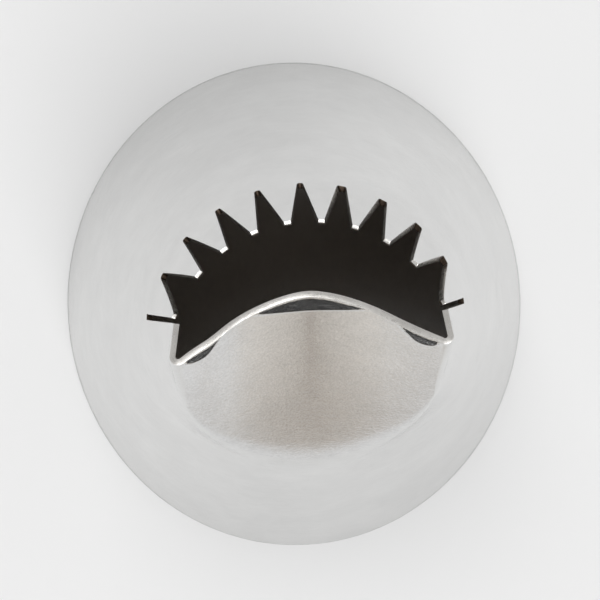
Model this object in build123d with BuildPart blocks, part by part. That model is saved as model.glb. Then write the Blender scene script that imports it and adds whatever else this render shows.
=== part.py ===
from build123d import *
import os
from math import asin, cos, degrees, hypot, radians, sin

# Piping nozzle that presses out wide curved petals with a ribbed back. It is one piece of
# stainless steel sheet, drawn to a cone without a seam, then pressed and cut at the tip.
# The origin is the centre of the open base, on the surface that the nozzle stands on.
# +Z runs up to the tip, +Y is the toothed side, and -Y is the side pressed in to a scoop.

# Sheet
sheet = 0.42

# Cone, outside sizes. The pressing leaves it a little oval.
base_half_width = 18.4
base_half_depth = 19.6
shoulder_half_width = 11.4
shoulder_tooth_depth = 10.3
shoulder_scoop_depth = 9.9
shoulder_height = 32.0

# Top of the crown, outside sizes
crown_height = 8.0
mouth_half_width = 9.75
mouth_tooth_depth = 7.4

# Lowest point of the crease round the scoop, where the pressed-in floor leaves the cone
crease_height = 23.0
crease_depth = 11.0
crease_start_half_width = 1.2
crease_reach = 0.5

# Slits that part the toothed side from the scoop
slit_y = 0.76
slit_width = 0.38
slit_depth = 8.9

# Side tabs below the slits, and the tight folds that turn them in to the lip
tab_length = 2.31
tab_lean = 0.29
fold_radius = 0.6
fold_turn = 128

# Lip of the scoop: a low arch, slightly peaked in the middle. An upright flange carries it.
lip_arch = 3.98
lip_curve_share = 1.65
lip_half_shares = (0, 0.1, 0.25, 0.4, 0.55, 0.7, 0.85, 1)
flange_height = 0.45

# Foot of the lip, where the scoop's floor turns up: how far below the tip it lies, and how far
# in front of the lip, from the middle of the lip out to its ends
foot_fall = 1.5
foot_step = 1.05
foot_step_half_shares = (1, 1, 0.95, 0.8, 0.7, 0.75, 0.85, 0.5)

# V notches that leave the teeth, fanned about an upright axis in front of the nozzle's own
notch_count = 9
notch_pitch = 15.05
notch_axis_y = -2.13
notch_depth = 7.0
notch_root_width = 0.42
notch_mouth_width = 1.95
end_notch_reach = 2.0

# Inside corners of the sheet, as shares of the sheet in from and down from the outside ones
corner_inset_share = 0.8
corner_drop_share = 0.75
crease_drop_share = 0.65

# Levels between the crease's lowest point and the shoulder, as shares of the way up
crease_level_shares = (0.04, 0.13, 0.27, 0.45, 0.7, 1)

# Cuts start this far inside the mouth's outline, and run this far past the metal
cut_reach = 1.95
overrun = 1.5

# Heights above the base that follow from the sizes
nozzle_height = shoulder_height + crown_height
foot_height = nozzle_height - foot_fall
flange_foot_height = nozzle_height - flange_height
fold_y = slit_y - tab_length

# The floor is steep, so square to it one sheet is more than one sheet measured level
floor_run = crease_depth + fold_y + lip_arch - foot_step
floor_inset_share = hypot(floor_run, foot_height - crease_height) / (foot_height - crease_height)


def moved_inward(points, distance):
    """Points of a curve that runs left to right, each moved square to the curve, towards +Y."""
    moved = []
    for index, (x, y) in enumerate(points):
        before_x, before_y = points[max(index - 1, 0)]
        after_x, after_y = points[min(index + 1, len(points) - 1)]
        run = hypot(after_x - before_x, after_y - before_y)
        square_x = (before_y - after_y) / run
        square_y = (after_x - before_x) / run
        moved.append((x + distance * square_x, y + distance * square_y))
    return moved


def cone_sizes(height, inset):
    """Half width, and half depths on the toothed and on the scoop side, of the cone's oval."""
    low_share = height / shoulder_height
    half_width = base_half_width + (shoulder_half_width - base_half_width) * low_share
    tooth_depth = base_half_depth + (shoulder_tooth_depth - base_half_depth) * low_share
    if height < crease_height:
        scoop_depth = base_half_depth + (crease_depth - base_half_depth) * height / crease_height
    else:
        high_share = (height - crease_height) / (shoulder_height - crease_height)
        scoop_depth = crease_depth + (shoulder_scoop_depth - crease_depth) * high_share
    return half_width - inset, tooth_depth - inset, scoop_depth - inset


def oval_section(height, inset):
    """Slice of the whole cone, cut into the same six stretches as a slice of the mouth."""
    half_width, tooth_depth, scoop_depth = cone_sizes(height, inset)
    start_angle = degrees(asin(crease_start_half_width / half_width))
    reach_angle = degrees(crease_reach / half_width)
    stops = (
        180,
        270 - start_angle - reach_angle,
        270 - start_angle,
        270 + start_angle,
        270 + start_angle + reach_angle,
        360,
    )
    with BuildSketch(Plane.XY.offset(height)) as section:
        with BuildLine():
            EllipticalCenterArc((0, 0), half_width, tooth_depth, 0, arc_size=180)
            for first, last in zip(stops, stops[1:]):
                EllipticalCenterArc((0, 0), half_width, scoop_depth, first, arc_size=last - first)
        make_face()
    return section.sketch


def lip_half_points(foot_share):
    """Outside of the lip, from its middle to its right end. foot_share is 1 at the lip's foot."""
    end_x = mouth_half_width + tab_lean - fold_radius * (1 + cos(radians(180 - fold_turn)))
    end_y = fold_y - fold_radius * sin(radians(180 - fold_turn))
    points = []
    for share, step_share in zip(lip_half_shares, foot_step_half_shares):
        arch_y = end_y + lip_arch * (1 - share**lip_curve_share)
        points.append((share * end_x, arch_y - foot_share * foot_step * step_share))
    return points


def scoop_section(height, inset):
    """Slice of the cone where the scoop's floor cuts across its front, moved in by inset."""
    half_width, tooth_depth, scoop_depth = cone_sizes(height, inset)
    floor_share = (height - crease_height) / (foot_height - crease_height)
    floor_inset = inset * floor_inset_share

    # The floor runs straight up from a line across the crease's lowest point to the lip's foot
    foot_points = lip_half_points(1)
    foot_end_x, foot_end_y = foot_points[-1]
    floor_end_y = (foot_end_y + crease_depth) * floor_share - crease_depth + floor_inset
    corner_angle = asin(-floor_end_y / scoop_depth)
    corner = (half_width * cos(corner_angle), floor_end_y)
    floor_end_x = corner[0] - crease_reach
    right_half = []
    for foot_x, foot_y in foot_points:
        floor_y = (foot_y + crease_depth) * floor_share - crease_depth + floor_inset
        right_half.append((foot_x / foot_end_x * floor_end_x, floor_y))
    floor = [(-x, y) for x, y in reversed(right_half[1:])] + right_half

    # The crease is rounded off between the cone's wall and the floor
    wall_angle = corner_angle - crease_reach / scoop_depth
    wall = (half_width * cos(wall_angle), -scoop_depth * sin(wall_angle))
    middle_x = (wall[0] + floor[-1][0] + 2 * corner[0]) / 4
    middle_y = (wall[1] + floor[-1][1] + 2 * corner[1]) / 4
    wall_turn = degrees(wall_angle)

    with BuildSketch(Plane.XY.offset(height)) as section:
        with BuildLine():
            EllipticalCenterArc((0, 0), half_width, tooth_depth, 0, arc_size=180)
            EllipticalCenterArc((0, 0), half_width, scoop_depth, 180, arc_size=wall_turn)
            ThreePointArc((-wall[0], wall[1]), (-middle_x, middle_y), floor[0])
            Spline(*floor)
            ThreePointArc(floor[-1], (middle_x, middle_y), wall)
            EllipticalCenterArc((0, 0), half_width, scoop_depth, 360 - wall_turn, arc_size=wall_turn)
        make_face()
    return section.sketch


def mouth_section(height, inset, foot_share):
    """Slice of the crown, moved in from its outside by inset. foot_share is 1 at the lip's foot."""
    rise_share = min((height - shoulder_height) / crown_height, 1)
    spread = (shoulder_half_width - mouth_half_width) * (1 - rise_share)
    deepening = (shoulder_tooth_depth - mouth_tooth_depth) * (1 - rise_share)
    side_x = mouth_half_width + spread - inset
    tooth_y = mouth_tooth_depth + deepening - inset

    # The fold is an arc about one centre, so that the sheet keeps its thickness round it
    centre_x = mouth_half_width + tab_lean + spread - fold_radius
    centre_y = fold_y - foot_share * foot_step * foot_step_half_shares[-1]
    inner_radius = fold_radius - inset
    middle_x = centre_x + inner_radius * cos(radians(fold_turn / 2))
    middle_y = centre_y - inner_radius * sin(radians(fold_turn / 2))

    lip_points = lip_half_points(foot_share)
    right_half = [(x * (lip_points[-1][0] + spread) / lip_points[-1][0], y) for x, y in lip_points]
    left_half = [(-x, y) for x, y in reversed(right_half[1:])]
    lip = moved_inward(left_half + right_half, inset)

    with BuildSketch(Plane.XY.offset(height)) as section:
        with BuildLine():
            ThreePointArc((side_x, slit_y), (0, tooth_y), (-side_x, slit_y))
            Line((-side_x, slit_y), (-centre_x - inner_radius, centre_y))
            ThreePointArc((-centre_x - inner_radius, centre_y), (-middle_x, middle_y), lip[0])
            Spline(*lip)
            ThreePointArc(lip[-1], (middle_x, middle_y), (centre_x + inner_radius, centre_y))
            Line((centre_x + inner_radius, centre_y), (side_x, slit_y))
        make_face()
    return section.sketch


# Slices of the outside, from the base up
crease_levels = [
    crease_height + (shoulder_height - crease_height) * share for share in crease_level_shares
]
outer_slices = [oval_section(0, 0), oval_section(crease_height, 0)]
outer_slices += [scoop_section(level, 0) for level in crease_levels]
outer_slices += [
    mouth_section(foot_height, 0, 1),
    mouth_section(flange_foot_height, 0, 0),
    mouth_section(nozzle_height, 0, 0),
]

# Slices of the inside, one sheet in from the outside, open at the base and at the tip
corner_inset = sheet * corner_inset_share
corner_drop = sheet * corner_drop_share
inner_slices = [
    oval_section(-overrun, sheet),
    oval_section(crease_height - sheet * crease_drop_share, sheet),
]
inner_slices += [scoop_section(level, sheet) for level in crease_levels]
inner_slices += [
    mouth_section(foot_height - corner_drop, corner_inset, 1),
    mouth_section(flange_foot_height - corner_drop, sheet, 0),
    mouth_section(nozzle_height + overrun, sheet, 0),
]

# Nozzle shell
with BuildPart() as nozzle_shell:
    loft(outer_slices, ruled=True)
    loft(inner_slices, ruled=True, mode=Mode.SUBTRACT)

    # V notches between the teeth. The two end notches are wider on the side of the slit.
    notch_start_radius = mouth_tooth_depth - notch_axis_y - cut_reach
    for number in range(notch_count):
        fan_angle = (number - (notch_count - 1) / 2) * notch_pitch
        across = Vector(1, 0, 0).rotate(Axis.Z, fan_angle)
        outward = Vector(0, 1, 0).rotate(Axis.Z, fan_angle)
        start = Vector(0, notch_axis_y, 0) + outward * notch_start_radius
        left_reach = end_notch_reach if number == notch_count - 1 else notch_mouth_width / 2
        right_reach = end_notch_reach if number == 0 else notch_mouth_width / 2
        with BuildSketch(Plane(origin=start, x_dir=across, z_dir=-outward)):
            with BuildLine():
                Polyline(
                    (-notch_root_width / 2, nozzle_height - notch_depth),
                    (notch_root_width / 2, nozzle_height - notch_depth),
                    (right_reach, nozzle_height),
                    (right_reach, nozzle_height + overrun),
                    (-left_reach, nozzle_height + overrun),
                    (-left_reach, nozzle_height),
                    close=True,
                )
            make_face()
        extrude(amount=-shoulder_half_width, mode=Mode.SUBTRACT)

    # Slits at the two sides, cut from the tip down to the shoulder
    slit_length = shoulder_half_width - mouth_half_width + cut_reach + overrun
    slit_x = mouth_half_width - cut_reach + slit_length / 2
    slit_z = nozzle_height - slit_depth
    with Locations((slit_x, slit_y, slit_z), (-slit_x, slit_y, slit_z)):
        Box(
            slit_length,
            slit_width,
            slit_depth + overrun,
            align=(Align.CENTER, Align.CENTER, Align.MIN),
            mode=Mode.SUBTRACT,
        )

os.makedirs("parts", exist_ok=True)
nozzle_shell.part.label = "nozzle_shell"
export_step(nozzle_shell.part, "parts/nozzle_shell.step")
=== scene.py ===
from functools import cache
from math import acos, asin, atan2, cos, exp, hypot, pi, radians, sin, sqrt

import bmesh
import bpy
from mathutils import Matrix, Vector


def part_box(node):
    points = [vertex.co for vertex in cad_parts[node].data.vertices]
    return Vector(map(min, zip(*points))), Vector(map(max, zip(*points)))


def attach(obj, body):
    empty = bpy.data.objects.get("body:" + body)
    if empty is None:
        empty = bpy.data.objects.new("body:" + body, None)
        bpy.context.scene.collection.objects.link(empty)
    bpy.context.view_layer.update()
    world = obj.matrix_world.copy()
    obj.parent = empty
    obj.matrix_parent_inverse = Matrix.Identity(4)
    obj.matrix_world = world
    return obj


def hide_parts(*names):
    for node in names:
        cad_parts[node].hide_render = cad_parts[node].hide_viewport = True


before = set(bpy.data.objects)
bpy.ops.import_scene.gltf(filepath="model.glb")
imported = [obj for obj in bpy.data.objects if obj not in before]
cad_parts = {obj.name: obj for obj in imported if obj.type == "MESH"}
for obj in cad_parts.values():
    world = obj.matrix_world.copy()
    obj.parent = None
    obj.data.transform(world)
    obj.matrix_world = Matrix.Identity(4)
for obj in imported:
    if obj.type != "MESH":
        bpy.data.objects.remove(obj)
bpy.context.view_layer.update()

MM = 0.001

# Order of the nozzle's finishes. The inside's and the cut roots' colours hold painted shade.
OUTSIDE, INSIDE, CUT_EDGE, CUT_ROOT, SCOOP = range(5)

# Sizes of the nozzle, in millimetres. The box of the CAD node gives the overall ones.
_, node_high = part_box("nozzle_shell")
base_half_width = node_high.x / MM
base_half_depth = node_high.y / MM
nozzle_height = node_high.z / MM
sheet = 0.42

# Shoulder, where the cone ends and the pressed crown starts
shoulder_half_width = 11.4
shoulder_tooth_depth = 10.3
shoulder_scoop_depth = 9.9
crown_height = 8.0
shoulder_height = nozzle_height - crown_height
shoulder_softness = 0.45

# The crease round the scoop is lowest in front, and climbs round the cone to the folds
crease_height = 23.0
crease_depth = 11.0
crease_softness = 2.4
front_softness = 2.4

# Outline of the crown at its top
mouth_half_width = 9.75
mouth_tooth_depth = 7.4

# Slits at the two sides
slit_y = 0.76
slit_width = 0.42
slit_root = nozzle_height - 8.9

# V notches, fanned about an upright axis in front of the nozzle's own. They close up a little
# towards the tip. The right ones were cut askew, which bares a sliver of cut metal on their left.
notch_count = 9
notch_pitch = radians(15.05)
notch_top_pitch = radians(14.7)
notch_axis_y = -2.13
notch_root = nozzle_height - 7.0
notch_root_width = 0.42
notch_round = 0.22
notch_round_share = 0.7
notch_mouth_width = 1.95
end_notch_reach = 2.0
skew_at_root = 0.26
skew_at_tip = 0.08

# Side tabs, and the tight folds that turn them in to the lip. The pressing is not quite even:
# the right fold lies nearer to its slit than the left one, and the left tab leans in at its slit.
right_fold_centre = (9.5, -1.3)
left_fold_centre = (9.38, -1.8)
fold_radius = 0.6
fold_turn = radians(128)
fold_reach = 0.5
left_tab_lean = 0.22

# Lip of the scoop: a low arch that sags a little on the left, carried by a low upright flange.
# Its rim slants down to the inside, and so do the chamfers inside the teeth's tips.
lip_peak = 1.93
lip_fall = 0.1116
lip_curve_share = 1.645
lip_end_reach = 3.5
lip_sag = 0.22
lip_sag_place = 6.9
lip_sag_reach = 1.3
rim_slant = 0.2
tip_chamfer = 0.35
tip_chamfer_share = 0.4
flange_foot = nozzle_height - 0.45
flange_softness = 0.2

# Under the flange the sheet leans back to about 40 degrees, behind a low step up from the floor:
# along a flat-bottomed lens in the middle, and in a small pocket by each fold
lens_depth = 1.05
lens_half_share = 0.45
lean_slope = 0.8
pocket_depth = 0.6
pocket_shares = (0.64, 0.83, 0.985)
foot_softness = 0.1
knee_softness = 0.06
faint_depth = 0.02
least_foot = 0.6
least_step = 0.2

# How finely the sheet is divided
tooth_columns = 7
half_tooth_columns = 5
tab_columns = 9
fold_columns = 12
half_lip_columns = 60
ring_counts = (22, 3, 8, 2, 4, 17, 4, 2, 4, 2, 6, 2)

# Places found by trial: the crease's by halving, and a slit's from a first guess at its turn
search_rounds = 24
turn_rounds = 4
first_turn_share = 0.4

# Edges that turn by more than the edge angle are rounded, and faces that turn by less than the
# smooth angle shade as one. A face of a cut that looks up and lies deeper than the root reach is
# the cut's root, and one that lies no higher than the flat reach is the base's rim.
edge_radius = 0.12
edge_steps = 3
edge_angle = radians(40)
smooth_angle = radians(21)
root_reach = 1.0
root_lift_share = 0.5
flat_reach = 0.001


def between(low, high, share):
    """The value or point this share of the way from low to high."""
    return low + (high - low) * share


def steps(low, high, count):
    """Evenly spaced values from low up to, but not with, high."""
    return [between(low, high, number / count) for number in range(count)]


def bent(corners, height):
    """Point at a height on a line through corners, (height, softness, point), with soft bends."""
    for index in range(1, len(corners) - 1):
        corner_height, softness, corner = corners[index]
        if abs(height - corner_height) < softness:
            low_height, _, low = corners[index - 1]
            high_height, _, high = corners[index + 1]
            before = between(corner, low, softness / (corner_height - low_height))
            after = between(corner, high, softness / (high_height - corner_height))
            turn = (height - corner_height + softness) / (2 * softness)
            return before * (1 - turn) ** 2 + corner * 2 * turn * (1 - turn) + after * turn**2
    for (low_height, _, low), (high_height, _, high) in zip(corners, corners[1:]):
        if height <= high_height:
            return between(low, high, (height - low_height) / (high_height - low_height))
    return corners[-1][2]


def oval_depth(height, softness=front_softness):
    """Half depth of the cone's ovals on the scoop's side."""
    corners = [
        (0, 0, base_half_depth),
        (crease_height, softness, crease_depth),
        (shoulder_height, 0, shoulder_scoop_depth),
    ]
    if height < 0:
        return between(base_half_depth, crease_depth, height / crease_height)
    return bent(corners, height)


def oval_point(angle, height):
    """Point of the cone's wall at an angle of its ovals, from the X axis towards +Y."""
    half_width = between(base_half_width, shoulder_half_width, height / shoulder_height)
    depth = oval_depth(height)
    if angle > 0:
        depth = between(base_half_depth, shoulder_tooth_depth, height / shoulder_height)
    return Vector((half_width * cos(angle), depth * sin(angle)))


def column_wall(angle, crease, upper_corners, height):
    """Point at a height of a column: up the cone's wall to its crease, then on over the crown."""
    crease_level, softness = crease
    low = crease_level - softness
    if height <= low:
        return oval_point(angle, height)
    wall = [(low, 0, oval_point(angle, low)), (crease_level, softness, oval_point(angle, crease_level))]
    return bent(wall + upper_corners, height)


def crease_corner(height):
    """Right end of the scoop's floor at a level of the cone."""
    end_y = (right_fold_centre[1] + left_fold_centre[1]) / 2 - fold_radius * sin(fold_turn)
    rise = (height - crease_height) / (flange_foot - crease_height)
    y = between(-crease_depth, end_y, rise)
    return oval_point(-asin(-y / oval_depth(height, 0)), height)


@cache
def crease_place(share):
    """Level and angle where the crease meets a column of the lip at this share of its half width."""
    reach = share * crease_corner(shoulder_height).x
    low, high = crease_height, shoulder_height
    for _ in range(search_rounds):
        middle = (low + high) / 2
        if crease_corner(middle).x < reach:
            low = middle
        else:
            high = middle
    return low, -acos(reach / oval_point(0, low).x)


def mouth_arc():
    """Centre and radius of the circle that the teeth's tips lie on."""
    rise = mouth_tooth_depth - slit_y
    radius = (mouth_half_width**2 + rise**2) / (2 * rise)
    return mouth_tooth_depth - radius, radius


def tooth_wall(fan_angle, height):
    """Point of the toothed side, at an angle about the notches' own axis."""
    across, out = -sin(fan_angle), cos(fan_angle)
    squares = (across / shoulder_half_width) ** 2 + (out / shoulder_tooth_depth) ** 2
    middle = out * notch_axis_y / shoulder_tooth_depth**2
    rest = (notch_axis_y / shoulder_tooth_depth) ** 2 - 1
    shoulder_reach = (-middle + sqrt(middle**2 - squares * rest)) / squares
    shoulder = Vector((across * shoulder_reach, notch_axis_y + out * shoulder_reach))

    centre_y, radius = mouth_arc()
    offset = notch_axis_y - centre_y
    tip_reach = -out * offset + sqrt((out * offset) ** 2 - offset**2 + radius**2)
    tip = Vector((across * tip_reach, notch_axis_y + out * tip_reach))

    angle = atan2(shoulder.y / shoulder_tooth_depth, shoulder.x / shoulder_half_width)
    return column_wall(angle, (shoulder_height, shoulder_softness), [(nozzle_height, 0, tip)], height)


def notch_edge(number, side, height, outside):
    """Fan angle of one side of a notch. side is -1 to the right of it and 1 to the left."""
    turns = number - (notch_count - 1) / 2
    rise = max(height - notch_root, 0) / (nozzle_height - notch_root)
    fan_angle = turns * between(notch_pitch, notch_top_pitch, rise)
    at_slit = (number == 0 and side < 0) or (number == notch_count - 1 and side > 0)
    reach = end_notch_reach if at_slit else notch_mouth_width / 2
    half_width = between(notch_root_width / 2, reach, rise)
    below_round = 1 - min(max(height - notch_root, 0) / notch_round, 1)
    half_width -= notch_root_width / 2 * notch_round_share * (1 - sqrt(1 - below_round**2))
    if outside and turns < 0 < side:
        half_width += between(skew_at_root, skew_at_tip, rise)
    wall = tooth_wall(fan_angle, max(height, shoulder_height))
    return fan_angle + side * asin(half_width / hypot(wall.x, wall.y - notch_axis_y))


def slit_edge(side, height):
    """Fan angle of a slit's toothed side. side is -1 at the right slit and 1 at the left."""
    rise = slit_y + slit_width / 2 - notch_axis_y
    fan_angle = side * pi * first_turn_share
    for _ in range(turn_rounds):
        wall = tooth_wall(fan_angle, max(height, shoulder_height))
        fan_angle = side * acos(rise / hypot(wall.x, wall.y - notch_axis_y))
    return fan_angle


def spread_at(height):
    """How far outside its place at the top the crown is at a level."""
    return (shoulder_half_width - mouth_half_width) * (nozzle_height - height) / crown_height


def crown_corners(point_of):
    """Corners of the crown's wall. point_of gives a point from its spread."""
    levels = [(flange_foot, flange_softness), (nozzle_height, 0)]
    return [(height, softness, point_of(spread_at(height))) for height, softness in levels]


def fold_centre(side, spread):
    """Centre of a fold's round at a level of the crown. side is 1 on the right and -1 on the left."""
    x, y = right_fold_centre if side > 0 else left_fold_centre
    return Vector((x + spread, y))


def fold_angles():
    """Angles of the cone's ovals at which the right fold starts and ends at the shoulder."""
    corner_angle = crease_place(1)[1]
    return corner_angle + fold_reach / shoulder_scoop_depth, corner_angle


def tab_point(side, share, height):
    """Point of a side tab, from the slit at share 0 to the fold at share 1."""
    slit_angle = asin(slit_y / shoulder_tooth_depth)
    fold_angle = fold_angles()[0]
    rise = max(height - shoulder_height, 0) / crown_height
    tab_length = slit_y - fold_centre(side, 0).y
    run = between(shoulder_scoop_depth * (slit_angle - fold_angle), tab_length, rise)
    share = between(slit_width / 2 / run, 1, share)

    def place(spread):
        top = Vector((mouth_half_width + spread - (left_tab_lean if side < 0 else 0), slit_y))
        return between(top, fold_centre(side, spread) + Vector((fold_radius, 0)), share)

    shoulder = (shoulder_height, shoulder_softness)
    return column_wall(between(slit_angle, fold_angle, share), shoulder, crown_corners(place), height)


def fold_point(side, share, height):
    """Point of a fold, from the side tab to the lip."""
    turn = fold_turn * share

    def place(spread):
        return fold_centre(side, spread) + fold_radius * Vector((cos(turn), -sin(turn)))

    shoulder = (shoulder_height, shoulder_softness)
    return column_wall(between(*fold_angles(), share), shoulder, crown_corners(place), height)


def lean_back(share):
    """Depth across of the strip that leans back, from share 0 in the lip's middle."""
    if share < lens_half_share:
        return max(lens_depth * (1 - (share / lens_half_share) ** lip_curve_share), faint_depth)
    start, top, end = pocket_shares
    if start < share < top:
        rise = (share - start) / (top - start)
        return max(pocket_depth * rise * rise * (3 - 2 * rise), faint_depth)
    if top <= share < end:
        return max(pocket_depth * sqrt(1 - ((share - top) / (end - top)) ** 2), faint_depth)
    return faint_depth


def lip_crease(share):
    """Level, softness and angle of the crease below a place on the lip."""
    level, angle = crease_place(share)
    return level, between(crease_softness, shoulder_softness, share**2), angle


def lip_arch(side, reach, end):
    """Depth of the lip's outside this far from its middle, where end is its last point."""
    def arch(x):
        return lip_peak - lip_fall * x**lip_curve_share

    sag = lip_sag * exp(-(((reach - lip_sag_place) / lip_sag_reach) ** 2)) if side < 0 else 0
    late = max(reach - end.x + lip_end_reach, 0) / lip_end_reach
    return arch(reach) - sag + (end.y - arch(end.x)) * late * late


def lip_top(side, share, height):
    """Point of the lip's flange, from the middle at share 0 to its end at share 1."""
    turn_end = fold_radius * Vector((cos(fold_turn), -sin(fold_turn)))
    end = fold_centre(side, spread_at(height)) + turn_end
    return Vector((end.x * share, lip_arch(side, end.x * share, end)))


@cache
def lip_bends(side, share):
    """Levels of the step's foot and top, and the share of the floor that the strip covers."""
    level, _, angle = lip_crease(share)
    top = lip_top(side, share, flange_foot)
    floor = oval_point(angle, level) - top
    lip_slope = lip_fall * lip_curve_share * top.x ** (lip_curve_share - 1)
    floor_run = -(floor.y + floor.x * lip_slope) / hypot(1, lip_slope)
    floor_share = lean_back(share) / floor_run
    foot = between(flange_foot, level, floor_share)
    knee = flange_foot - lean_back(share) * lean_slope
    return foot, knee, floor_share


def lip_point(side, share, height):
    """Point of the scoop, from the middle of the lip at share 0 to its end at share 1."""
    level, softness, angle = lip_crease(share)
    foot, knee, floor_share = lip_bends(side, share)
    top = lip_top(side, share, flange_foot)
    step = between(top, oval_point(angle, level), floor_share)
    corners = [
        (foot, min(foot_softness, (knee - foot) / 2), step),
        (knee, min(knee_softness, (knee - foot) / 2), step),
        (flange_foot, min(flange_softness, (flange_foot - knee) / 2), top),
        (nozzle_height, 0, lip_top(side, share, nozzle_height)),
    ]
    return column_wall(angle, (level, softness), corners, height)


def mirrored(point):
    """The same point on the other side of the nozzle."""
    return Vector((-point.x, point.y))


def sheet_columns():
    """Every upright line of the sheet, as (kind, place on it), counterclockwise from the right slit."""
    edges = [("slit", -1)]
    for number in range(notch_count):
        edges += [("notch", number, -1), ("notch", number, 1)]
    edges.append(("slit", 1))

    columns = []
    for number, (right, left) in enumerate(zip(edges[::2], edges[1::2])):
        at_slit = number in (0, notch_count)
        count = half_tooth_columns if at_slit else tooth_columns
        columns += [("tooth", right, left, step / count) for step in range(count + 1)]

    left_half = [("tab", -1, step / tab_columns) for step in range(tab_columns)]
    left_half += [("fold", -1, step / fold_columns) for step in range(fold_columns)]
    left_half += [("lip", -1, 1 - step / half_lip_columns) for step in range(half_lip_columns)]
    right_half = [(kind, 1, share) for kind, _, share in reversed(left_half)]
    return columns + left_half + [("lip", 1, 0)] + right_half


def fan_edge(edge, height, outside):
    """Fan angle of a slit's or a notch's edge at a height."""
    if edge[0] == "slit":
        return slit_edge(edge[1], height)
    return notch_edge(edge[1], edge[2], height, outside)


def column_point(column, height, outside=False):
    """Point of a column at a height, in millimetres."""
    kind = column[0]
    if kind == "tooth":
        right, left, share = column[1:]
        edges = fan_edge(right, height, outside), fan_edge(left, height, outside)
        return tooth_wall(between(*edges, share), height)
    side, share = column[1:]
    point_of = {"tab": tab_point, "fold": fold_point, "lip": lip_point}[kind]
    point = point_of(side, share, height)
    return mirrored(point) if side < 0 else point


def ring_heights(column):
    """Levels of a column's points, crowded where the column bends. All columns have as many."""
    level, softness = shoulder_height, shoulder_softness
    foot = knee = flange_foot
    if column[0] == "lip":
        level, softness, _ = lip_crease(column[2])
        foot, knee, _ = lip_bends(column[1], column[2])
    foot = min(foot, flange_foot - least_foot)
    knee = min(max(knee, foot + least_step), flange_foot - flange_softness - 2 * knee_softness)
    marks = (
        -sheet,
        level + softness * (slit_root - shoulder_height) / shoulder_softness,
        level - softness,
        level + softness,
        level + softness * (notch_root - shoulder_height) / shoulder_softness,
        level + softness * (notch_root + notch_round - shoulder_height) / shoulder_softness,
        foot - foot_softness,
        foot + foot_softness,
        knee - knee_softness,
        knee + knee_softness,
        flange_foot - flange_softness,
        flange_foot + flange_softness,
        nozzle_height,
    )
    heights = []
    for low, high, count in zip(marks, marks[1:], ring_counts):
        heights += steps(low, high, count)
    return heights + [nozzle_height]


def deselect_all():
    """Leaves nothing selected, so that an operator acts on the new piece alone."""
    bpy.ops.object.select_all(action="DESELECT")


def drawn_sheet(columns):
    """Outside of the sheet: a ring at the base, extruded up from ring to ring."""
    deselect_all()
    bpy.ops.mesh.primitive_circle_add(vertices=len(columns), radius=base_half_width * MM)
    nozzle = bpy.context.object
    nozzle.name = "nozzle"
    bpy.ops.object.mode_set(mode="EDIT")
    mesh = nozzle.data
    shape = bmesh.from_edit_mesh(mesh)
    column_of = shape.verts.layers.int.new("column")
    in_turn = sorted(shape.verts, key=lambda point: atan2(point.co.y, point.co.x) % (2 * pi))
    for number, point in enumerate(in_turn):
        point[column_of] = number
    heights = [ring_heights(column) for column in columns]
    for level in range(sum(ring_counts) + 1):
        if level:
            bpy.ops.mesh.extrude_edges_indiv()
        shape = bmesh.from_edit_mesh(mesh)
        column_of = shape.verts.layers.int["column"]
        for point in shape.verts:
            if point.select:
                number = point[column_of]
                height = heights[number][level]
                place = column_point(columns[number], height)
                point.co = Vector((place.x, place.y, height)) * MM
        bmesh.update_edit_mesh(mesh)
    return nozzle


def cut_away(nozzle, columns):
    """Takes the notches and the slits out of the sheet."""
    shape = bmesh.from_edit_mesh(nozzle.data)
    column_of = shape.verts.layers.int["column"]
    tooth_ends = {}
    for number, column in enumerate(columns):
        if column[0] == "tooth" and column[3] == 1:
            root = slit_root if column[2][0] == "slit" else notch_root
            tooth_ends[number, (number + 1) % len(columns)] = root
    tooth_ends[len(columns) - 1, 0] = slit_root
    for face in shape.faces:
        sides = {point[column_of] for point in face.verts}
        root = [tooth_ends[pair] for pair in tooth_ends if set(pair) == sides]
        face.select = bool(root) and face.calc_center_median().z > root[0] * MM
    bmesh.update_edit_mesh(nozzle.data)
    bpy.ops.mesh.delete(type="FACE")


def apply(piece, kind, **settings):
    """Adds a modifier with its settings to a piece and applies it."""
    modifier = piece.modifiers.new(kind.lower(), kind)
    for name, value in settings.items():
        setattr(modifier, name, value)
    bpy.ops.object.modifier_apply(modifier=modifier.name)


def trim_tops(nozzle, columns, skin_points):
    """Widens the right notches outside, slants the rims and chamfers the teeth's tips inside."""
    column_of = nozzle.data.attributes["column"].data
    for point in nozzle.data.vertices:
        column = columns[column_of[point.index].value]
        on_tooth = column[0] == "tooth"
        if point.index < skin_points:
            if on_tooth:
                point.co.xy = column_point(column, point.co.z / MM, outside=True) * MM
            continue
        outer_point = nozzle.data.vertices[point.index - skin_points]
        slant = tip_chamfer if on_tooth else rim_slant
        slant_foot = (nozzle_height - 2 * slant) * MM
        if on_tooth and outer_point.co.z > (nozzle_height - edge_radius) * MM:
            point.co = between(point.co, outer_point.co, tip_chamfer_share)
        elif point.co.z > slant_foot:
            point.co.z = (slant_foot + point.co.z) / 2


def mark_finishes(nozzle, columns):
    """Gives the pressed scoop its own finish, and paints the roots of the cuts dark brown for the shade in
    them.
    """
    column_of = nozzle.data.attributes["column"].data
    for face in nozzle.data.polygons:
        of_face = [columns[column_of[point].value] for point in face.vertices]
        kinds = {column[0] for column in of_face}
        at_root = face.center.z < (nozzle_height - root_reach) * MM and face.normal.z > root_lift_share
        # Upward faces at the roots of the cuts get painted shade: a dark brown steel
        if face.material_index == CUT_EDGE and at_root and kinds <= {"tooth", "tab"}:
            face.material_index = CUT_ROOT
        if face.material_index == OUTSIDE and of_face[0][0] == "lip":
            if face.center.z > lip_crease(of_face[0][2])[0] * MM:
                face.material_index = SCOOP


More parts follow.
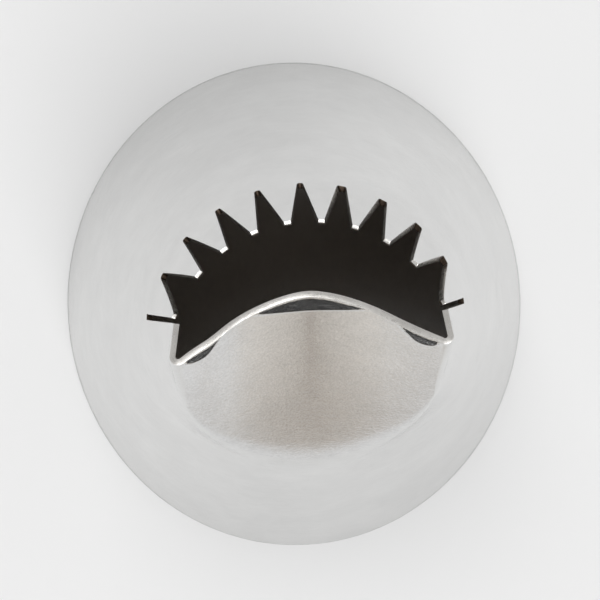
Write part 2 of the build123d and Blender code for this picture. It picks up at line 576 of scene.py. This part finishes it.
def trim_base(nozzle):
    """Cuts the base flat and closes the cut edge between the two skins."""
    bpy.ops.object.mode_set(mode="EDIT")
    bpy.ops.mesh.select_all(action="SELECT")
    bpy.ops.mesh.bisect(plane_co=(0, 0, 0), plane_no=(0, 0, 1), clear_inner=True)
    bpy.ops.mesh.select_all(action="DESELECT")
    bpy.ops.mesh.select_mode(type="EDGE")
    bpy.ops.mesh.select_non_manifold()
    bpy.ops.mesh.bridge_edge_loops()
    shape = bmesh.from_edit_mesh(nozzle.data)
    for face in shape.faces:
        if all(point.co.z < flat_reach * MM for point in face.verts):
            face.material_index = CUT_EDGE
    bmesh.update_edit_mesh(nozzle.data)
    bpy.ops.object.mode_set(mode="OBJECT")


def make_nozzle():
    """The whole nozzle, one piece of sheet."""
    columns = sheet_columns()
    nozzle = drawn_sheet(columns)
    cut_away(nozzle, columns)
    bpy.ops.mesh.select_all(action="SELECT")
    bpy.ops.mesh.normals_make_consistent(inside=False)
    bpy.ops.object.mode_set(mode="OBJECT")
    for material in (satin_steel(), shaded_drawn_steel(), sheared_steel(), root_shade_steel(), pressed_steel()):
        nozzle.data.materials.append(material)
    skin_points = len(nozzle.data.vertices)
    apply(
        nozzle,
        "SOLIDIFY",
        thickness=sheet * MM,
        offset=-1,
        use_even_offset=True,
        use_quality_normals=True,
        material_offset=INSIDE,
        material_offset_rim=CUT_EDGE,
    )
    trim_tops(nozzle, columns, skin_points)
    mark_finishes(nozzle, columns)
    trim_base(nozzle)
    apply(
        nozzle,
        "BEVEL",
        width=edge_radius * MM,
        segments=edge_steps,
        limit_method="ANGLE",
        angle_limit=edge_angle,
    )
    deselect_all()
    nozzle.select_set(True)
    bpy.ops.object.shade_smooth_by_angle(angle=smooth_angle)
    return nozzle


# Materials

# Sizes of the finishes, in millimetres. Real lines from polishing and shearing are finer than
# 0.1 mm, too fine to show in the render, so the lines are drawn coarser. They run level, around
# the nozzle.
drift_size = 6.0
dent_size = 0.8
dent_depth = 0.012
pit_size = 0.15
pit_share = 0.6
line_stretch = (0.15, 0.15, 1.0)
mottle_size = 33.3

# Values that most of a noise lies between
noise_low = 0.3
noise_high = 0.7


def colour(hex_digits):
    """Linear colour of an sRGB hex value."""
    shares = [int(hex_digits[place : place + 2], 16) / 255 for place in (0, 2, 4)]
    return [*(s / 12.92 if s <= 0.04045 else ((s + 0.055) / 1.055) ** 2.4 for s in shares), 1]


def add_node(tree, kind, inputs=(), **settings):
    """Adds a node. inputs holds (socket, value) pairs, where a value may be another node's output."""
    node = tree.nodes.new(kind)
    for name, value in settings.items():
        setattr(node, name, value)
    for name, value in inputs:
        if isinstance(value, bpy.types.NodeSocket):
            tree.links.new(value, node.inputs[name])
        else:
            node.inputs[name].default_value = value
    return node


def new_material(name):
    """An empty material, its node tree and its output node."""
    material = bpy.data.materials.new(name)
    material.use_nodes = True
    tree = material.node_tree
    tree.nodes.clear()
    return material, tree, add_node(tree, "ShaderNodeOutputMaterial")


def pattern_scale(size):
    """Scale of a pattern, from its size in millimetres."""
    return 1 / (size * MM)


def steel(name, light, dark, wear, line_size, line_depth, pit_depth=0.0):
    """A steel finish: a colour that drifts, shallow dents and fine lines from the tool.

    wear is the range of roughness, from polished to worn. A pit depth adds a grain of small pits.
    """
    material, tree, output = new_material(name)
    place = add_node(tree, "ShaderNodeTexCoord").outputs["Object"]
    around = add_node(tree, "ShaderNodeMapping", [("Vector", place), ("Scale", line_stretch)])
    blend = add_node(
        tree,
        "ShaderNodeTexNoise",
        [("Vector", place), ("Scale", pattern_scale(drift_size)), ("Detail", 8.0), ("Roughness", 0.8)],
    ).outputs["Fac"]
    dents = add_node(
        tree,
        "ShaderNodeTexNoise",
        [("Vector", place), ("Scale", pattern_scale(dent_size)), ("Detail", 3.0)],
    ).outputs["Fac"]
    lines = add_node(
        tree,
        "ShaderNodeTexNoise",
        [
            ("Vector", around.outputs["Vector"]),
            ("Scale", pattern_scale(line_size)),
            ("Detail", 3.0),
            ("Roughness", 0.7),
        ],
    ).outputs["Fac"]
    layers = [(dents, dent_depth), (lines, line_depth)]
    if pit_depth:
        pits = add_node(
            tree,
            "ShaderNodeTexNoise",
            [("Vector", place), ("Scale", pattern_scale(pit_size)), ("Detail", 2.0)],
        ).outputs["Fac"]
        blend = add_node(tree, "ShaderNodeMix", [(0, pit_share), (2, blend), (3, pits)]).outputs[0]
        layers.insert(1, (pits, pit_depth))
    relief = []
    for height, depth in layers:
        inputs = [("Height", height), ("Distance", depth * MM), ("Strength", 1.0), *relief]
        relief = [("Normal", add_node(tree, "ShaderNodeBump", inputs).outputs["Normal"])]
    tint = add_node(
        tree,
        "ShaderNodeMix",
        [(0, blend), (6, colour(dark)), (7, colour(light))],
        data_type="RGBA",
    )
    rubbed = add_node(
        tree,
        "ShaderNodeMapRange",
        [
            ("Value", lines),
            ("From Min", noise_low),
            ("From Max", noise_high),
            ("To Min", wear[0]),
            ("To Max", wear[1]),
        ],
    )
    shader = add_node(
        tree,
        "ShaderNodeBsdfPrincipled",
        [
            ("Base Color", tint.outputs[2]),
            ("Metallic", 1.0),
            ("Roughness", rubbed.outputs["Result"]),
            *relief,
        ],
    )
    tree.links.new(shader.outputs["BSDF"], output.inputs["Surface"])
    return material


def satin_steel():
    """Stainless steel, belt polished to a satin: an even, soft mirror with faint lines around."""
    return steel(
        "satin_stainless_steel", "ebebea", "c8c8c7", wear=(0.18, 0.26), line_size=0.2, line_depth=0.004
    )


def shaded_drawn_steel():
    """The same sheet inside, left as it was drawn: duller, and painted darker and browner for the shade
    inside the nozzle.
    """
    return steel(
        "shaded_drawn_stainless_steel", "b0a599", "9c9186", wear=(0.34, 0.5), line_size=0.5, line_depth=0.01
    )


def sheared_steel():
    """The sheet's cut edge: bright bare metal, a little torn."""
    return steel(
        "sheared_stainless_steel", "faf8f4", "98948f", wear=(0.2, 0.4), line_size=0.12, line_depth=0.01
    )


def root_shade_steel():
    """The roots of the cuts, painted dark brown for the shade deep in the notches."""
    return steel(
        "root_shade_stainless_steel", "4e433a", "372f29", wear=(0.3, 0.5), line_size=0.12, line_depth=0.01
    )


def pressed_steel():
    """The scoop, where the punch has stretched the sheet: the same soft mirror, broken by a fine grain."""
    return steel(
        "pressed_stainless_steel",
        "ffffff",
        "a6a6a5",
        wear=(0.18, 0.26),
        line_size=0.2,
        line_depth=0.004,
        pit_depth=0.013,
    )


# Stage

camera_height = 300 * MM
camera_turn = radians(2.9)
camera_offset = (-8.17 * MM, 10.56 * MM)
aim_offset = (0.46 * MM, 0.35 * MM)
camera_lens = 221.9
sensor_width = 36
clip_start = 10 * MM

# Places and sizes on the stage, in metres
table_radius = 1.2
round_sides = 96
horizon_radius = 0.3
horizon_height = 0.15
card_width = 0.2
card_near = -0.06
card_far = -0.28
card_height = 0.002
card_dark_place = 0.0015
card_dark_reach = 0.026
softbox_size = 0.45
dark_sky_start = radians(58)
dark_sky_end = radians(70)
sky_strength = 0.62

# Place and power in watts of each softbox
softboxes = {
    "front_softbox": ((0.1, -0.36, 0.8), 2.65),
    "back_softbox": ((-0.08, 0.35, 0.8), 1.8),
}


def turned(offset):
    """A place given along the photograph's own sides, in the nozzle's frame."""
    return Matrix.Rotation(-camera_turn, 2) @ Vector(offset)


def make_camera():
    """Looks almost straight down on the tip, as the photograph does."""
    place = Vector((*turned(camera_offset), camera_height))
    aim = Vector((*turned(aim_offset), 0))
    back = (place - aim).normalized()
    right = Vector((*turned((0, 1)), 0)).cross(back).normalized()
    up = back.cross(right)
    data = bpy.data.cameras.new("camera")
    data.lens = camera_lens
    data.sensor_width = sensor_width
    data.clip_start = clip_start
    camera = bpy.data.objects.new("camera", data)
    camera.location = place
    camera.rotation_euler = Matrix((right, up, back)).transposed().to_euler()
    bpy.context.scene.collection.objects.link(camera)
    bpy.context.scene.camera = camera


def white_table():
    """Matt white laminate: a pale plain surface, barely mottled and with hardly any shine."""
    material, tree, output = new_material("matt_white_laminate")
    place = add_node(tree, "ShaderNodeTexCoord").outputs["Object"]
    mottle = add_node(
        tree,
        "ShaderNodeTexNoise",
        [("Vector", place), ("Scale", pattern_scale(mottle_size)), ("Detail", 2.0)],
    )
    tint = add_node(
        tree,
        "ShaderNodeMix",
        [(0, mottle.outputs["Fac"]), (6, colour("eeeeee")), (7, colour("f1f1f1"))],
        data_type="RGBA",
    )
    shader = add_node(
        tree,
        "ShaderNodeBsdfPrincipled",
        [("Base Color", tint.outputs[2]), ("Roughness", 0.7), ("Specular IOR Level", 0.2)],
    )
    tree.links.new(shader.outputs["BSDF"], output.inputs["Surface"])
    return material


def black_flag():
    """Black cloth that metal mirrors as its dark horizon."""
    material, tree, output = new_material("black_cloth")
    shader = add_node(
        tree, "ShaderNodeBsdfPrincipled", [("Base Color", colour("08080a")), ("Roughness", 0.9)]
    )
    tree.links.new(shader.outputs["BSDF"], output.inputs["Surface"])
    return material


def make_lamp(name, place, power):
    """A round softbox that faces the nozzle."""
    data = bpy.data.lights.new(name, "AREA")
    data.shape = "DISK"
    data.size = softbox_size
    data.energy = power
    lamp = bpy.data.objects.new(name, data)
    lamp.location = place
    lamp.rotation_euler = lamp.location.to_track_quat("Z", "Y").to_euler()
    bpy.context.scene.collection.objects.link(lamp)


def grey_card():
    """Warm grey card, darkest in its middle, that the scoop's floor mirrors."""
    material, tree, output = new_material("warm_grey_card")
    place = add_node(tree, "ShaderNodeTexCoord").outputs["Object"]
    across = add_node(tree, "ShaderNodeSeparateXYZ", [("Vector", place)]).outputs["X"]
    shifted = add_node(tree, "ShaderNodeMath", [(0, across), (1, card_dark_place)], operation="SUBTRACT")
    aside = add_node(
        tree, "ShaderNodeMath", [(0, shifted.outputs["Value"])], operation="ABSOLUTE"
    ).outputs["Value"]
    share = add_node(
        tree,
        "ShaderNodeMapRange",
        [("Value", aside), ("From Min", 0.0), ("From Max", card_dark_reach)],
        interpolation_type="SMOOTHSTEP",
    )
    tint = add_node(
        tree,
        "ShaderNodeMix",
        [(0, share.outputs["Result"]), (6, colour("c0b6ab")), (7, colour("eae4dc"))],
        data_type="RGBA",
    )
    shader = add_node(
        tree, "ShaderNodeBsdfPrincipled", [("Base Color", tint.outputs[2]), ("Roughness", 0.9)]
    )
    tree.links.new(shader.outputs["BSDF"], output.inputs["Surface"])
    return material


def only_mirrored(piece):
    """Hides a piece of the stage from everything but mirrors."""
    piece.visible_camera = False
    piece.visible_diffuse = False
    piece.visible_shadow = False


def make_stage():
    """The table, a low black arc for a dark horizon in front and a card before the scoop."""
    deselect_all()
    bpy.ops.mesh.primitive_circle_add(vertices=round_sides, radius=table_radius, fill_type="NGON")
    table = bpy.context.object
    table.name = "table"
    table.data.materials.append(white_table())
    deselect_all()
    bpy.ops.mesh.primitive_cylinder_add(
        vertices=round_sides,
        radius=horizon_radius,
        depth=horizon_height,
        end_fill_type="NOTHING",
        location=(0, 0, horizon_height / 2),
    )
    flag = bpy.context.object
    flag.name = "flag"
    bpy.ops.object.mode_set(mode="EDIT")
    shape = bmesh.from_edit_mesh(flag.data)
    for face in shape.faces:
        face.select = face.calc_center_median().y > -horizon_radius / 2
    bmesh.update_edit_mesh(flag.data)
    bpy.ops.mesh.delete(type="FACE")
    bpy.ops.object.mode_set(mode="OBJECT")
    flag.data.materials.append(black_flag())
    only_mirrored(flag)
    deselect_all()
    bpy.ops.mesh.primitive_plane_add(size=1)
    card = bpy.context.object
    card.name = "card"
    for point in card.data.vertices:
        point.co.x *= card_width
        point.co.y = card_near if point.co.y > 0 else card_far
        point.co.z = card_height
    card.data.materials.append(grey_card())
    only_mirrored(card)


def make_sky():
    """Soft light from all round, with the dark of the camera overhead."""
    world = bpy.data.worlds.new("studio")
    world.use_nodes = True
    bpy.context.scene.world = world
    tree = world.node_tree
    tree.nodes.clear()
    direction = add_node(tree, "ShaderNodeTexCoord").outputs["Generated"]
    rise = add_node(tree, "ShaderNodeSeparateXYZ", [("Vector", direction)]).outputs["Z"]
    share = add_node(
        tree,
        "ShaderNodeMapRange",
        [("Value", rise), ("From Min", sin(dark_sky_start)), ("From Max", sin(dark_sky_end))],
        interpolation_type="SMOOTHSTEP",
    )
    tint = add_node(
        tree,
        "ShaderNodeMix",
        [(0, share.outputs["Result"]), (6, colour("ffffff")), (7, colour("3c3a38"))],
        data_type="RGBA",
    )
    background = add_node(
        tree, "ShaderNodeBackground", [("Color", tint.outputs[2]), ("Strength", sky_strength)]
    )
    output = add_node(tree, "ShaderNodeOutputWorld")
    tree.links.new(background.outputs["Background"], output.inputs["Surface"])


bpy.context.scene.view_settings.view_transform = "Standard"
make_camera()
make_sky()
for name, (place, power) in softboxes.items():
    make_lamp(name, place, power)
make_stage()

nozzle = make_nozzle()
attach(nozzle, "root")
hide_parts("nozzle_shell")
